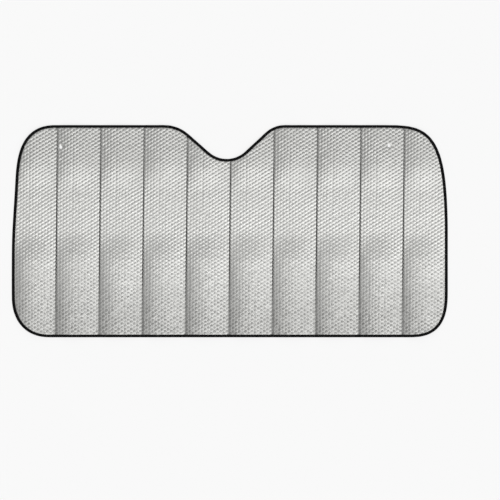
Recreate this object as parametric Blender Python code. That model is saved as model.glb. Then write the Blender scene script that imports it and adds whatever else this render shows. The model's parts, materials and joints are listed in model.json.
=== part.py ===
"""Folding windscreen sunshade, opened out and lying on the floor with its silver side up.

A sheet of aluminised bubble foil is cut to the shape of a windscreen, with a notch for the
rear-view mirror. Upright creases are pressed through it, so that it folds up like a fan, and
each panel between two creases stays bowed up a little. A woven tape is folded over the edge
all the way round. Two small holes near the top corners are punched for suction cups.

The frame: +X runs along the dashboard, +Y points to the edge with the notch, and +Z points up
from the floor. The origin is on the floor, under the middle of the outline. Sizes are metres.
"""
from math import cos, pi, radians, sin, tan

import bpy
import numpy as np

# Outline
LENGTH = 1.430
HEIGHT = 0.696

# Rounded corners: reach along the long edge, reach along the side, and the power of the
# superellipse, where 2 is a plain ellipse and more is squarer
TOP_LEFT_LENGTH = 0.135
TOP_LEFT_HEIGHT = 0.187
TOP_LEFT_POWER = 2.54
TOP_RIGHT_LENGTH = 0.200
TOP_RIGHT_HEIGHT = 0.293
TOP_RIGHT_POWER = 3.4
BOTTOM_LEFT_LENGTH = 0.125
BOTTOM_LEFT_HEIGHT = 0.135
BOTTOM_LEFT_POWER = 2.25
BOTTOM_RIGHT_LENGTH = 0.131
BOTTOM_RIGHT_HEIGHT = 0.155
BOTTOM_RIGHT_POWER = 2.75

# The sides lean in towards the top, as a windscreen does. Heights are from the bottom edge.
LEFT_LEAN = 0.014
LEFT_LEAN_START = 0.270
LEFT_LEAN_END = 0.597
RIGHT_LEAN = 0.010
RIGHT_LEAN_START = 0.350
RIGHT_LEAN_END = 0.640

# Mirror notch: a round root and two round crests, joined by straight flanks
NOTCH_CENTRE_X = -0.010
NOTCH_DEPTH = 0.111
NOTCH_ROOT_RADIUS = 0.088
NOTCH_LEFT_CREST_RADIUS = 0.120
NOTCH_LEFT_ANGLE = radians(41.3)
NOTCH_RIGHT_CREST_RADIUS = 0.091
NOTCH_RIGHT_ANGLE = radians(42.9)

# Foil sheet and its pressed creases
SHEET_THICKNESS = 0.0024
CREASE_PITCH = 0.1422
CREASE_LEAN = 0.007
CREASE_THICKNESS = 0.0010
CREASE_FLOOR_WIDTH = 0.0024
CREASE_WIDTH = 0.0084

# Bow of the panels: most along the lower edge, and nearly flat in a band below the notch
BOW_HEIGHT = 0.0045
BOW_HEIGHT_AT_LOWER_EDGE = 0.0052
BOW_HEIGHT_IN_FLAT_BAND = 0.0006
FLAT_BAND_FROM_TOP = 0.285
FLAT_BAND_CORE = 0.065
FLAT_BAND_REACH = 0.165
BOW_SKEW = 0.55

# Edge binding: one tape folded over the edge
TAPE_THICKNESS = 0.0007
BINDING_WIDTH = 0.0085
BINDING_EDGE_RADIUS = 0.0016
FLAT_LIP = 0.004

# Suction cup holes, measured from the ends and from the top edge
HOLE_DIAMETER = 0.008
LEFT_HOLE_FROM_END = 0.161
LEFT_HOLE_FROM_TOP = 0.0725
RIGHT_HOLE_FROM_END = 0.193
RIGHT_HOLE_FROM_TOP = 0.068

# Clearance between the sheet and the tape
GAP = 0.0004

# Fineness of the mesh
CORNER_SEGMENTS = 20
ARC_SEGMENTS = 6
SIDE_SEGMENTS = 6
FOLD_SEGMENTS = 2
HOLE_SEGMENTS = 24
PANEL_FRACTIONS = (0.16, 0.34, 0.52, 0.70, 0.86)
BAND_FRACTIONS = (-2.2, -1.6, -1.0, -0.80, -0.60, -0.39, 0.39, 0.60, 0.80, 1.0)
CROSSING_SPARE = 0.0004

# Colours
FOIL_COLOUR = (0.58, 0.58, 0.56, 1.0)
TAPE_COLOUR = (0.012, 0.012, 0.013, 1.0)

# Worked out from the sizes above
HALF_LENGTH = LENGTH / 2
HALF_HEIGHT = HEIGHT / 2
SHEET_REST = TAPE_THICKNESS + GAP
SHEET_INSET = TAPE_THICKNESS + GAP
BINDING_HEIGHT = 2 * SHEET_REST + SHEET_THICKNESS
LIP_X = HALF_LENGTH - BINDING_WIDTH - FLAT_LIP
OVERLAP = 0.02


def smooth_step(t):
    """Rise from 0 to 1 as t goes from 0 to 1, level at both ends."""
    t = np.clip(t, 0.0, 1.0)
    return t * t * (3.0 - 2.0 * t)


def crease_positions():
    """X of each crease at mid height: one in the middle and the others a pitch apart."""
    each_side = int((HALF_LENGTH - CREASE_PITCH / 2) / CREASE_PITCH)
    return np.arange(-each_side, each_side + 1) * CREASE_PITCH


def upright_x(x, y):
    """X at mid height of the leaning line that runs along the creases through a point."""
    return x - CREASE_LEAN * y / HEIGHT


def panel_edges():
    """Left and right X of each panel's bow, at mid height."""
    creases = crease_positions()
    left = np.concatenate([[-LIP_X], creases + CREASE_FLOOR_WIDTH / 2])
    right = np.concatenate([creases - CREASE_FLOOR_WIDTH / 2, [LIP_X]])
    return left, right


def bow_across(across):
    """Share of the full bow at some X of mid height.

    In each panel it is a parabola, 0 at both creases and 1 between them, whose top is pushed
    to the left. The lips at both ends lie flat.
    """
    left, right = panel_edges()
    panel = np.clip(np.searchsorted(left, across) - 1, 0, len(left) - 1)
    share = np.clip((across - left[panel]) / (right[panel] - left[panel]), 0.0, 1.0)
    share = share + BOW_SKEW * share * (1.0 - share)
    return 4.0 * share * (1.0 - share)


def bow_along(y):
    """Height of the panels' bow: little in the flat band, more above it and most at the bottom."""
    distance = np.abs(y - (HALF_HEIGHT - FLAT_BAND_FROM_TOP))
    out_of_band = smooth_step((distance - FLAT_BAND_CORE) / (FLAT_BAND_REACH - FLAT_BAND_CORE))
    rise = (BOW_HEIGHT - BOW_HEIGHT_IN_FLAT_BAND) * out_of_band
    lower_rise = (BOW_HEIGHT_AT_LOWER_EDGE - BOW_HEIGHT) * smooth_step(-y / HALF_HEIGHT)
    return BOW_HEIGHT_IN_FLAT_BAND + rise + lower_rise


def bow(x, y):
    """Height of the bowed sheet over its creases, straight between the mesh's lines.

    The sheet and the tape both take their height from here, so they rise and fall alike.
    """
    columns = bow_columns()
    rows = row_positions()
    across = np.interp(upright_x(x, y), columns, bow_across(columns))
    return across * np.interp(y, rows, bow_along(rows))


def groove(x, y):
    """Depth of the pressed creases: level on their floor, with a slope on each side."""
    distance = np.abs(upright_x(x, y)[..., None] - crease_positions()).min(axis=-1)
    slope = (CREASE_WIDTH - CREASE_FLOOR_WIDTH) / 2
    share = np.clip((CREASE_WIDTH / 2 - distance) / slope, 0.0, 1.0)
    return (SHEET_THICKNESS - CREASE_THICKNESS) * share


def bow_columns():
    """X at mid height of the lines where the bow changes slope."""
    left, right = panel_edges()
    inner = left[:, None] + (right - left)[:, None] * np.array(PANEL_FRACTIONS)
    ends = [-HALF_LENGTH - OVERLAP, HALF_LENGTH + OVERLAP]
    return np.unique(np.concatenate([left, inner.ravel(), right, ends]))


def mesh_columns():
    """X at mid height of the sheet's columns: where the bow or a crease changes slope."""
    creases = crease_positions()
    rims = [creases - CREASE_WIDTH / 2, creases + CREASE_WIDTH / 2]
    return np.unique(np.concatenate([bow_columns(), *rims]))


def row_positions():
    """Y of the mesh's rows: close together where the bow changes."""
    band = HALF_HEIGHT - FLAT_BAND_FROM_TOP + np.array(BAND_FRACTIONS) * FLAT_BAND_REACH
    inside = band[np.abs(band) < HALF_HEIGHT]
    ends = [-HALF_HEIGHT - OVERLAP, HALF_HEIGHT + OVERLAP]
    return np.unique(np.concatenate([inside, ends]))


def corner(side, edge, length, height, power):
    """Points of a rounded corner, from its side to its long edge.

    The corner is a quarter of a superellipse: its points are cosine and sine, each to the
    power 2 / power. side and edge are -1 or 1 and say which corner it is.
    """
    turn = np.linspace(0.0, pi / 2, CORNER_SEGMENTS + 1)
    out = length * np.clip(np.cos(turn), 0.0, 1.0) ** (2 / power)
    up = height * np.clip(np.sin(turn), 0.0, 1.0) ** (2 / power)
    x = side * (HALF_LENGTH - length + out)
    y = edge * (HALF_HEIGHT - height + up)
    return np.column_stack([x, y])


def fitted(first, second, room):
    """Two corner reaches, both shortened if together they don't fit on one straight edge."""
    share = min(1.0, 0.96 * room / (first + second))
    return first * share, second * share


def notch_side(crest_radius, angle):
    """One flank of the notch as distance from its centre and height under the top edge.

    The root arc turns from level to the flank's angle, the flank is straight, and the crest
    arc turns back to level at the top edge.
    """
    arcs = (NOTCH_ROOT_RADIUS + crest_radius) * (1 - cos(angle))
    share = min(1.0, 0.9 * NOTCH_DEPTH / arcs)
    root = NOTCH_ROOT_RADIUS * share
    crest = crest_radius * share
    turn = np.linspace(0.0, angle, ARC_SEGMENTS + 1)
    root_arc = np.column_stack([root * np.sin(turn), root * (1 - np.cos(turn)) - NOTCH_DEPTH])
    flank_rise = NOTCH_DEPTH - arcs * share
    half_width = (root + crest) * sin(angle) + flank_rise / tan(angle)
    back = turn[::-1]
    crest_arc = np.column_stack([half_width - crest * np.sin(back), crest * (np.cos(back) - 1)])
    return np.concatenate([root_arc, crest_arc])


def lean_in(points, lean, start, end):
    """Move points of a side towards the middle, more towards the top."""
    share = smooth_step((points[:, 1] + HALF_HEIGHT - start) / (end - start))
    leaned = points.copy()
    leaned[:, 0] -= np.sign(points[:, 0]) * lean * share
    return leaned


def side_and_corners(side, bottom, top, lean, start, end):
    """Points of one end, from the bottom edge up the side to the top edge."""
    bottom_length, bottom_height, bottom_power = bottom
    top_length, top_height, top_power = top
    bottom_height, top_height = fitted(bottom_height, top_height, HEIGHT)
    low = corner(side, -1, bottom_length, bottom_height, bottom_power)[::-1]
    high = corner(side, 1, top_length, top_height, top_power)
    y = np.linspace(low[-1, 1], high[0, 1], SIDE_SEGMENTS + 1)[1:-1]
    straight = np.column_stack([np.full_like(y, side * HALF_LENGTH), y])
    return lean_in(np.concatenate([low, straight, high]), lean, start, end)


def with_column_crossings(points):
    """A closed line of points, with one more wherever the bow under it changes slope."""
    columns = bow_columns()
    refined = []
    for start, end in zip(points, np.roll(points, -1, axis=0)):
        low, high = upright_x(start[0], start[1]), upright_x(end[0], end[1])
        after_low = columns > min(low, high) + CROSSING_SPARE
        inside = columns[after_low & (columns < max(low, high) - CROSSING_SPARE)]
        share = np.sort((inside - low) / (high - low)) if len(inside) else inside
        refined.append(start)
        refined.extend(start + part * (end - start) for part in share)
    return np.array(refined)


def outline():
    """Outer edge of the bound sheet as points, counter-clockwise, seen from above.

    The second value says which points lie between the corners, on a long edge or the notch.
    """
    right = side_and_corners(
        1,
        (BOTTOM_RIGHT_LENGTH, BOTTOM_RIGHT_HEIGHT, BOTTOM_RIGHT_POWER),
        (TOP_RIGHT_LENGTH, TOP_RIGHT_HEIGHT, TOP_RIGHT_POWER),
        RIGHT_LEAN, RIGHT_LEAN_START, RIGHT_LEAN_END)
    left = side_and_corners(
        -1,
        (BOTTOM_LEFT_LENGTH, BOTTOM_LEFT_HEIGHT, BOTTOM_LEFT_POWER),
        (TOP_LEFT_LENGTH, TOP_LEFT_HEIGHT, TOP_LEFT_POWER),
        LEFT_LEAN, LEFT_LEAN_START, LEFT_LEAN_END)[::-1]
    notch_right = notch_side(NOTCH_RIGHT_CREST_RADIUS, NOTCH_RIGHT_ANGLE)[::-1]
    notch_left = notch_side(NOTCH_LEFT_CREST_RADIUS, NOTCH_LEFT_ANGLE)[1:] * (-1, 1)
    notch = np.concatenate([notch_right, notch_left]) + (NOTCH_CENTRE_X, HALF_HEIGHT)
    edge = with_column_crossings(np.concatenate([right, notch, left]))
    start = np.where(edge[:, 1] > 0, left[0, 0], left[-1, 0])
    end = np.where(edge[:, 1] > 0, right[-1, 0], right[0, 0])
    return edge, (edge[:, 0] > start) & (edge[:, 0] < end)


def inward_directions(points, between_corners):
    """Direction into the sheet at each point, long enough to keep a strip's width.

    It is square to the edge at the ends. Between the corners it runs along the creases, so
    that the tape crosses each crease as the sheet does.
    """
    before = points - np.roll(points, 1, axis=0)
    after = np.roll(points, -1, axis=0) - points
    before /= np.linalg.norm(before, axis=1)[:, None]
    after /= np.linalg.norm(after, axis=1)[:, None]
    square = np.column_stack([-before[:, 1] - after[:, 1], before[:, 0] + after[:, 0]])
    square /= np.linalg.norm(square, axis=1)[:, None]
    along_crease = np.array([CREASE_LEAN, HEIGHT]) * -np.sign(points[:, 1:])
    direction = np.where(between_corners[:, None], along_crease, square)
    depth_before = -before[:, 1] * direction[:, 0] + before[:, 0] * direction[:, 1]
    depth_after = -after[:, 1] * direction[:, 0] + after[:, 0] * direction[:, 1]
    return direction / ((depth_before + depth_after) / 2)[:, None]


def make_material(name, colour, roughness, metallic):
    """A plain material of one colour."""
    material = bpy.data.materials.new(name)
    material.use_nodes = True
    surface = material.node_tree.nodes["Principled BSDF"]
    surface.inputs["Base Color"].default_value = colour
    surface.inputs["Roughness"].default_value = roughness
    surface.inputs["Metallic"].default_value = metallic
    return material


def add_object(name, vertices, faces):
    """A new object in the scene from points and faces."""
    mesh = bpy.data.meshes.new(name)
    mesh.from_pydata([tuple(vertex) for vertex in vertices], [], [tuple(face) for face in faces])
    mesh.validate()
    thing = bpy.data.objects.new(name, mesh)
    bpy.context.scene.collection.objects.link(thing)
    return thing


def hide_cutter(thing):
    """Mark an object as a cutter, which is no part of the model."""
    thing.hide_render = True
    thing.display_type = "WIRE"


def cut(target, cutter, operation):
    """Give target a Boolean with cutter."""
    modifier = target.modifiers.new(cutter.name, "BOOLEAN")
    modifier.operation = operation
    modifier.solver = "EXACT"
    modifier.object = cutter
    hide_cutter(cutter)


def make_slab():
    """The creased and bowed sheet before it is cut to its outline."""
    columns = mesh_columns()
    rows = row_positions()
    across, y = np.meshgrid(columns, rows, indexing="ij")
    x = across + CREASE_LEAN * y / HEIGHT
    under = SHEET_REST + bow(x, y)
    over = under + SHEET_THICKNESS - groove(x, y)
    lower = np.column_stack([x.ravel(), y.ravel(), under.ravel()])
    upper = np.column_stack([x.ravel(), y.ravel(), over.ravel()])

    count = x.size
    index = np.arange(count).reshape(x.shape)
    a, b, c, d = index[:-1, :-1], index[1:, :-1], index[1:, 1:], index[:-1, 1:]
    a, b, c, d = (corner_index.ravel() for corner_index in (a, b, c, d))
    top = np.concatenate([np.column_stack([a, b, c]), np.column_stack([a, c, d])]) + count
    bottom = top[:, ::-1] - count
    rim = np.concatenate([index[:-1, 0], index[-1, :-1], index[:0:-1, -1], index[0, :0:-1]])
    following = np.roll(rim, -1)
    walls = np.column_stack([rim, following, following + count, rim + count])
    faces = top.tolist() + bottom.tolist() + walls.tolist()
    return add_object("foil_sheet", np.concatenate([lower, upper]), faces)


def make_prism(name, points, low, high):
    """An upright prism over a closed line of points."""
    count = len(points)
    lower = np.column_stack([points, np.full(count, low)])
    upper = np.column_stack([points, np.full(count, high)])
    first = np.arange(count)
    following = np.roll(first, -1)
    walls = np.column_stack([first, following, following + count, first + count])
    faces = walls.tolist() + [first[::-1].tolist(), (first + count).tolist()]
    return add_object(name, np.concatenate([lower, upper]), faces)


def make_foil_sheet(edge, inward):
    """The foil sheet: creased slab, cut to its outline and punched twice."""
    sheet = make_slab()
    low, high = -OVERLAP, BOW_HEIGHT_AT_LOWER_EDGE + SHEET_THICKNESS + OVERLAP
    cutter = make_prism("outline_cutter", edge + inward * SHEET_INSET, low, high)
    cut(sheet, cutter, "INTERSECT")
    holes = (
        ("left_hole_cutter", LEFT_HOLE_FROM_END - HALF_LENGTH, HALF_HEIGHT - LEFT_HOLE_FROM_TOP),
        ("right_hole_cutter", HALF_LENGTH - RIGHT_HOLE_FROM_END, HALF_HEIGHT - RIGHT_HOLE_FROM_TOP))
    turn = np.arange(HOLE_SEGMENTS) * 2 * pi / HOLE_SEGMENTS
    circle = np.column_stack([np.cos(turn), np.sin(turn)]) * HOLE_DIAMETER / 2
    for name, x, y in holes:
        cut(sheet, make_prism(name, circle + (x, y), low, high), "DIFFERENCE")
    sheet.data.materials.append(make_material("foil", FOIL_COLOUR, 0.38, 1.0))
    return sheet


def binding_section():
    """Section of the folded tape as distance from the edge and height over the floor.

    It runs counter-clockwise from the inner end of the lower leg: along the slot for the
    sheet, round the upper leg and back round the rounded fold.
    """
    radius = min(BINDING_EDGE_RADIUS, 0.48 * BINDING_HEIGHT)
    turn = np.linspace(0.0, pi / 2, FOLD_SEGMENTS + 1)
    upper_fold = np.column_stack([
        radius * (1 - np.sin(turn)), BINDING_HEIGHT - radius * (1 - np.cos(turn))])
    lower_fold = np.column_stack([radius * (1 - np.cos(turn)), radius * (1 - np.sin(turn))])
    slot_top = BINDING_HEIGHT - TAPE_THICKNESS
    legs = np.array([
        (BINDING_WIDTH, 0.0),
        (BINDING_WIDTH, TAPE_THICKNESS),
        (TAPE_THICKNESS, TAPE_THICKNESS),
        (TAPE_THICKNESS, slot_top),
        (BINDING_WIDTH, slot_top),
        (BINDING_WIDTH, BINDING_HEIGHT)])
    return np.concatenate([legs, upper_fold, lower_fold])


def make_edge_binding(edge, inward):
    """The tape: its section carried round the outline, riding up and down with the sheet."""
    section = binding_section()
    places = edge[:, None, :] + inward[:, None, :] * section[None, :, :1]
    x, y = places[..., 0], places[..., 1]
    z = section[None, :, 1] + bow(x, y)
    stations, around = x.shape
    vertices = np.column_stack([x.ravel(), y.ravel(), z.ravel()])

    index = np.arange(stations * around).reshape(stations, around)
    ahead = np.roll(index, -1, axis=0)
    a, b, c, d = index, np.roll(index, -1, axis=1), np.roll(ahead, -1, axis=1), ahead
    faces = np.stack([a, b, c, d], axis=-1).reshape(-1, 4)
    binding = add_object("edge_binding", vertices, faces.tolist())
    binding.data.materials.append(make_material("tape", TAPE_COLOUR, 0.85, 0.0))
    return binding


def main():
    for thing in list(bpy.data.objects):
        bpy.data.objects.remove(thing, do_unlink=True)
    edge, between_corners = outline()
    inward = inward_directions(edge, between_corners)
    make_foil_sheet(edge, inward)
    make_edge_binding(edge, inward)


main()
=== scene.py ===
# %% [markdown]
# A folding windscreen sunshade, opened out flat on a pale floor and seen from above. It is a
# sheet of silver bubble foil with a notch for the mirror, pressed into ten panels, and a black
# woven tape is folded over its edge and sewn down. The solid model of it is loaded first, as a
# fixed frame: every surface made below takes its outline and its place from that model.

# %% Load the solid model
import json
from math import pi, radians

import bpy
import numpy as np
from mathutils.geometry import delaunay_2d_cdt
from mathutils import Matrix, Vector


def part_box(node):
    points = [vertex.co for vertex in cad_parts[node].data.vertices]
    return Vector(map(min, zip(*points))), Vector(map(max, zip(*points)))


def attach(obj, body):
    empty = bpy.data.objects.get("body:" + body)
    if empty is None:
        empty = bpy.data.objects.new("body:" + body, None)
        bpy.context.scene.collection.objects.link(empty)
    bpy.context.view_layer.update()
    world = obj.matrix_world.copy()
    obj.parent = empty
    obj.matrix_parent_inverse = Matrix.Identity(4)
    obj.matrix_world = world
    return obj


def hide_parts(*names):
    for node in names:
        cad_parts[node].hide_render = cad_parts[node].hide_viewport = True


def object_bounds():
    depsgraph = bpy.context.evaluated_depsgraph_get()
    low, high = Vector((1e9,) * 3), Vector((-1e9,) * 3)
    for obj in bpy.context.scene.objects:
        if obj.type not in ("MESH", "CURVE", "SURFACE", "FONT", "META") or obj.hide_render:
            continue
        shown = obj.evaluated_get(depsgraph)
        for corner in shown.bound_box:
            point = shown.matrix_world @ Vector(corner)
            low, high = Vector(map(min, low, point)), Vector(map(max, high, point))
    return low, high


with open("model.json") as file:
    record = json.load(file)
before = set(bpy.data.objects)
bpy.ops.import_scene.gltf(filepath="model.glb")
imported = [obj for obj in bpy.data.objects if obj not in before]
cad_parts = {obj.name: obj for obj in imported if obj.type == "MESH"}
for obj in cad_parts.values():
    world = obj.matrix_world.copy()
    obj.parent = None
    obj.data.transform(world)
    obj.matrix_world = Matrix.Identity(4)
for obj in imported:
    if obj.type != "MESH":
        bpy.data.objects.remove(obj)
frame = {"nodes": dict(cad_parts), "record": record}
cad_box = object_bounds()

for node in sorted(frame["nodes"]):
    low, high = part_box(node)
    print(node, "is", [round(size * 1000, 1) for size in high - low], "mm")

# %% [markdown]
# The camera comes first, because it settles how large everything is seen. The sunshade was
# photographed square on, so the camera hangs straight above it and looks down, with the notch
# at the top of the picture. A long lens keeps the far corners as large as the middle.

# %% Camera above the sunshade
METRES_PER_PIXEL = 0.00328
PICTURE_PIXELS = 500
ORIGIN_COLUMN = 229.8
ORIGIN_ROW = 231.2
LENS_MM = 400.0
SENSOR_MM = 36.0


def hang_camera():
    """Camera over the picture's middle, at the height where the picture's width fills the lens."""
    data = bpy.data.cameras.new("camera")
    data.lens = LENS_MM
    data.sensor_width = SENSOR_MM
    camera = bpy.data.objects.new("camera", data)
    picture_width = PICTURE_PIXELS * METRES_PER_PIXEL
    camera.location = (
        (PICTURE_PIXELS / 2 - ORIGIN_COLUMN) * METRES_PER_PIXEL,
        (ORIGIN_ROW - PICTURE_PIXELS / 2) * METRES_PER_PIXEL,
        picture_width * LENS_MM / SENSOR_MM)
    bpy.context.scene.collection.objects.link(camera)
    bpy.context.scene.camera = camera
    return camera


camera = hang_camera()
print("camera", round(camera.location.z, 2), "m above the floor")

# %% [markdown]
# The outline is read from the solid binding: the upright faces of its outer wall stand on it.
# Those faces are flat facets, so their corners are joined again by a closed cubic spline, which
# is the smoothest line through them, and the spline is cut into even steps. Three steps make one
# stitch, so that the puckers of the seam fall in step with the thread later on.

# %% The outline as one smooth line
OUTLINE_MIDDLE = np.array([0.0, -0.1])
UPRIGHT_TOLERANCE = 0.05
POINTS_PER_SPAN = 12
STITCH_LENGTH = 0.004
STEPS_PER_STITCH = 3


def upright_wall_corners(node):
    """XY of the corners of a node's upright faces that look away from the outline's middle."""
    mesh = frame["nodes"][node].data
    points = np.zeros(len(mesh.vertices) * 3)
    normals = np.zeros(len(mesh.polygons) * 3)
    centres = np.zeros(len(mesh.polygons) * 3)
    corners = np.zeros(len(mesh.loops), dtype=int)
    mesh.vertices.foreach_get("co", points)
    mesh.polygons.foreach_get("normal", normals)
    mesh.polygons.foreach_get("center", centres)
    mesh.loops.foreach_get("vertex_index", corners)
    normals = normals.reshape(-1, 3)
    away = centres.reshape(-1, 3)[:, :2] - OUTLINE_MIDDLE
    upright = np.abs(normals[:, 2]) < UPRIGHT_TOLERANCE
    chosen = upright & ((normals[:, :2] * away).sum(axis=1) > 0)
    found = points.reshape(-1, 3)[corners.reshape(-1, 3)[chosen].ravel(), :2]
    return np.unique(np.round(found, 5), axis=0)


def in_polar_order(points):
    """Points sorted by their direction from the middle, counter-clockwise."""
    away = points - OUTLINE_MIDDLE
    return points[np.argsort(np.arctan2(away[:, 1], away[:, 0]))]


def closed_spline(points, per_span):
    """Closed cubic spline through points, with some places on each span between two of them.

    The bends at the points solve a ring of equations, one a point: the slope at the end of one
    span equals the slope at the start of the next. Each span is then the straight line between
    its points, plus the cubic that those two bends give it.
    """
    count = len(points)
    step = np.linalg.norm(np.roll(points, -1, axis=0) - points, axis=1)
    slope = (np.roll(points, -1, axis=0) - points) / step[:, None]
    here = np.arange(count)
    ring = np.zeros((count, count))
    ring[here, here] = 2 * (step + np.roll(step, 1))
    ring[here, (here + 1) % count] += step
    ring[here, (here - 1) % count] += np.roll(step, 1)
    bend = np.linalg.solve(ring, 6 * (slope - np.roll(slope, 1, axis=0)))
    share = (np.arange(per_span) / per_span)[None, :, None]
    rest = 1 - share
    start, end = points[:, None], np.roll(points, -1, axis=0)[:, None]
    bend_start, bend_end = bend[:, None], np.roll(bend, -1, axis=0)[:, None]
    span = (step ** 2 / 6)[:, None, None]
    line = rest * start + share * end
    line += span * ((rest ** 3 - rest) * bend_start + (share ** 3 - share) * bend_end)
    return line.reshape(-1, 2)


def running_length(line):
    """Length run so far at each point of a closed line, and last of all its whole length."""
    step = np.linalg.norm(np.roll(line, -1, axis=0) - line, axis=1)
    return np.concatenate([[0], np.cumsum(step)])


def even_steps(line, count):
    """A closed line cut into equal lengths, read at equal shares of its running length."""
    closed = np.vstack([line, line[:1]])
    run = running_length(line)
    wanted = np.arange(count) * run[-1] / count
    return np.column_stack([np.interp(wanted, run, closed[:, axis]) for axis in (0, 1)])


def inward_normals(edge):
    """Unit direction into the sheet: the run of a counter-clockwise line, turned to its left."""
    run = np.roll(edge, -1, axis=0) - np.roll(edge, 1, axis=0)
    run /= np.linalg.norm(run, axis=1)[:, None]
    return np.column_stack([-run[:, 1], run[:, 0]])


wall_corners = in_polar_order(upright_wall_corners("edge_binding"))
smooth_line = closed_spline(wall_corners, POINTS_PER_SPAN)
EDGE_LENGTH = running_length(smooth_line)[-1]
STITCHES = round(EDGE_LENGTH / STITCH_LENGTH)
EDGE = even_steps(smooth_line, STITCHES * STEPS_PER_STITCH)
INWARD = inward_normals(EDGE)
print("outline", round(EDGE_LENGTH, 3), "m long, from", len(wall_corners), "corners,",
      STITCHES, "stitches")

# %% [markdown]
# The panels are not flat. A creased film wants to fold again, so each panel stays bowed up
# between its creases, most along both long edges and least in a band below the notch. The
# same formula gives the height of the foil and of the tape, so they rise and fall together.
# The creases aren't ruled straight either: each finds its way between the bubbles on its two
# sides, so it zigzags with their rows, and most near the upper edge.

# %% Bow of the panels
CREASE_PITCH = 0.1422
CREASE_LEAN = 0.007
BOW_HEIGHT = 0.0045
BOW_HEIGHT_AT_LOWER_EDGE = 0.0052
BOW_HEIGHT_IN_FLAT_BAND = 0.0006
FLAT_BAND_FROM_TOP = 0.285
FLAT_BAND_CORE = 0.065
FLAT_BAND_REACH = 0.165
BOW_SKEW = 0.55
FLAT_END_WIDTH = 0.0125
ROW_PITCH = 0.01243
ZIGZAG = 0.0003
ZIGZAG_AT_TOP = 0.0019
ZIGZAG_START = 0.20

LENGTH = cad_box[1].x - cad_box[0].x
HEIGHT = cad_box[1].y - cad_box[0].y
CREASES_EACH_SIDE = int((LENGTH / 2 - CREASE_PITCH / 2) / CREASE_PITCH)
CREASES = np.arange(-CREASES_EACH_SIDE, CREASES_EACH_SIDE + 1) * CREASE_PITCH


def smooth_step(t):
    """Rise from 0 to 1 as t goes from 0 to 1, level at both ends."""
    t = np.clip(t, 0.0, 1.0)
    return t * t * (3.0 - 2.0 * t)


def upright_x(x, y):
    """X at mid height of the leaning line that runs along the creases through a point."""
    return x - CREASE_LEAN * y / HEIGHT


def zigzag(y):
    """Sideways step of a crease, which finds its way between the bubbles on its two sides."""
    reach = ZIGZAG + ZIGZAG_AT_TOP * smooth_step((y - ZIGZAG_START) / (HEIGHT / 2 - ZIGZAG_START))
    return -reach * np.cos(2 * pi * y / ROW_PITCH)


def crease_distance(x, y):
    """Distance to the nearest crease."""
    return np.abs((upright_x(x, y) - zigzag(y))[..., None] - CREASES).min(axis=-1)


def out_of_flat_band(y):
    """Share that rises from 0 in the core of the flat band to 1 where the band ends."""
    distance = np.abs(y - (HEIGHT / 2 - FLAT_BAND_FROM_TOP))
    return smooth_step((distance - FLAT_BAND_CORE) / (FLAT_BAND_REACH - FLAT_BAND_CORE))


def bow(x, y):
    """Height of the bowed foil over its creases.

    Across each panel it is a parabola, 0 at both creases and 1 between them, whose top is pushed
    to the left. Along the panel it falls smoothly into the flat band and rises out of it.
    """
    flat_ends = LENGTH / 2 - FLAT_END_WIDTH
    sides = np.concatenate([[-flat_ends], CREASES, [flat_ends]])
    across = upright_x(x, y)
    panel = np.clip(np.searchsorted(sides, across) - 1, 0, len(sides) - 2)
    share = np.clip((across - sides[panel]) / (sides[panel + 1] - sides[panel]), 0.0, 1.0)
    share = share + BOW_SKEW * share * (1.0 - share)
    rise = BOW_HEIGHT - BOW_HEIGHT_IN_FLAT_BAND
    along = BOW_HEIGHT_IN_FLAT_BAND + rise * out_of_flat_band(y)
    along += (BOW_HEIGHT_AT_LOWER_EDGE - BOW_HEIGHT) * smooth_step(-2.0 * y / HEIGHT)
    return 4.0 * share * (1.0 - share) * along


lower_edge_bow = bow(np.linspace(0, CREASE_PITCH), -HEIGHT / 2).max()
print(len(CREASES), "creases,", round(lower_edge_bow * 1000, 2), "mm bow at the lower edge")

# %% [markdown]
# The foil is bubble film with a silver film on both sides. Its bubbles stand in upright
# columns, fourteen to a panel, each column half a bubble lower than the one before. A bump map
# could fake them, but then the foil would be smooth from the side and in the mesh, so every
# bubble is real: a crown, a ring of six shoulder points, and low points where it meets its
# neighbours. All those points are laid out at once as arrays.
#
# Use has changed the film from place to place. Near both long edges, where hands hold it, the
# bubbles are worn flat and wide. Over the upper middle, rising rows of bubbles are drawn into
# ribs. In the lower half the film lies slack, and some upright columns stand out as streaks.
# Each of these is a share between 0 and 1 that depends on the place alone.

# %% Bubble lattice
COLUMNS_PER_PANEL = 14
COLUMN_PITCH = CREASE_PITCH / COLUMNS_PER_PANEL
SHOULDER_RADIUS = 0.0034
SHOULDER_SHARE = 0.76
WORN_SHOULDER_SHARE = 0.97
WORN_SHOULDER_SPREAD = 0.30

# Ribs: their share of a dome, weaker at a panel's left side, and the bell they keep to
RIB_SHARE = 0.70
RIB_AT_LEFT = 0.55
RIB_GAIN_ACROSS = 0.75
RIB_MIDDLE = 0.15
RIB_REACH = 0.18

# Streaks: their share of a dome, and a wave over the column numbers whose phase wanders
STREAK_SHARE = 1.0
STREAK_WAVE = 2.4
STREAK_WANDER = 1.3
STREAK_WANDER_WAVE = 0.9

# Slack: the share that falling rows rise by, and where the film loosens
FALLING_RIB_SHARE = 0.42
SLACK_START = 0.0
SLACK_REACH = 0.20

# Slow waves that pull the lattice about: radians a metre by length and by height, phase, strength
WARP = 0.0005
SIDEWAYS_WAVES = ((9.0, 23.0, 0.0, 1.0), (-31.0, 51.0, 1.0, 0.6))
LENGTHWISE_WAVES = ((29.0, 4.0, 0.0, 1.0), (67.0, 19.0, 2.0, 0.6))

# Wear, and the painted shade that goes with it: how far it reaches from each long edge, and how strong
# it is there
SCUFF_REACH = 0.30
SCUFF_GROWTH = 0.24
LOW_SCUFF_REACH = 0.36
TOP_SCUFF_AND_SHADE = 0.42
LOW_SCUFF_AND_SHADE = 0.60
# Near the lower edge the wear and its painted shade are strongest just right of each crease
LOW_SCUFF_AND_SHADE_BY_CREASE = 0.25

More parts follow.
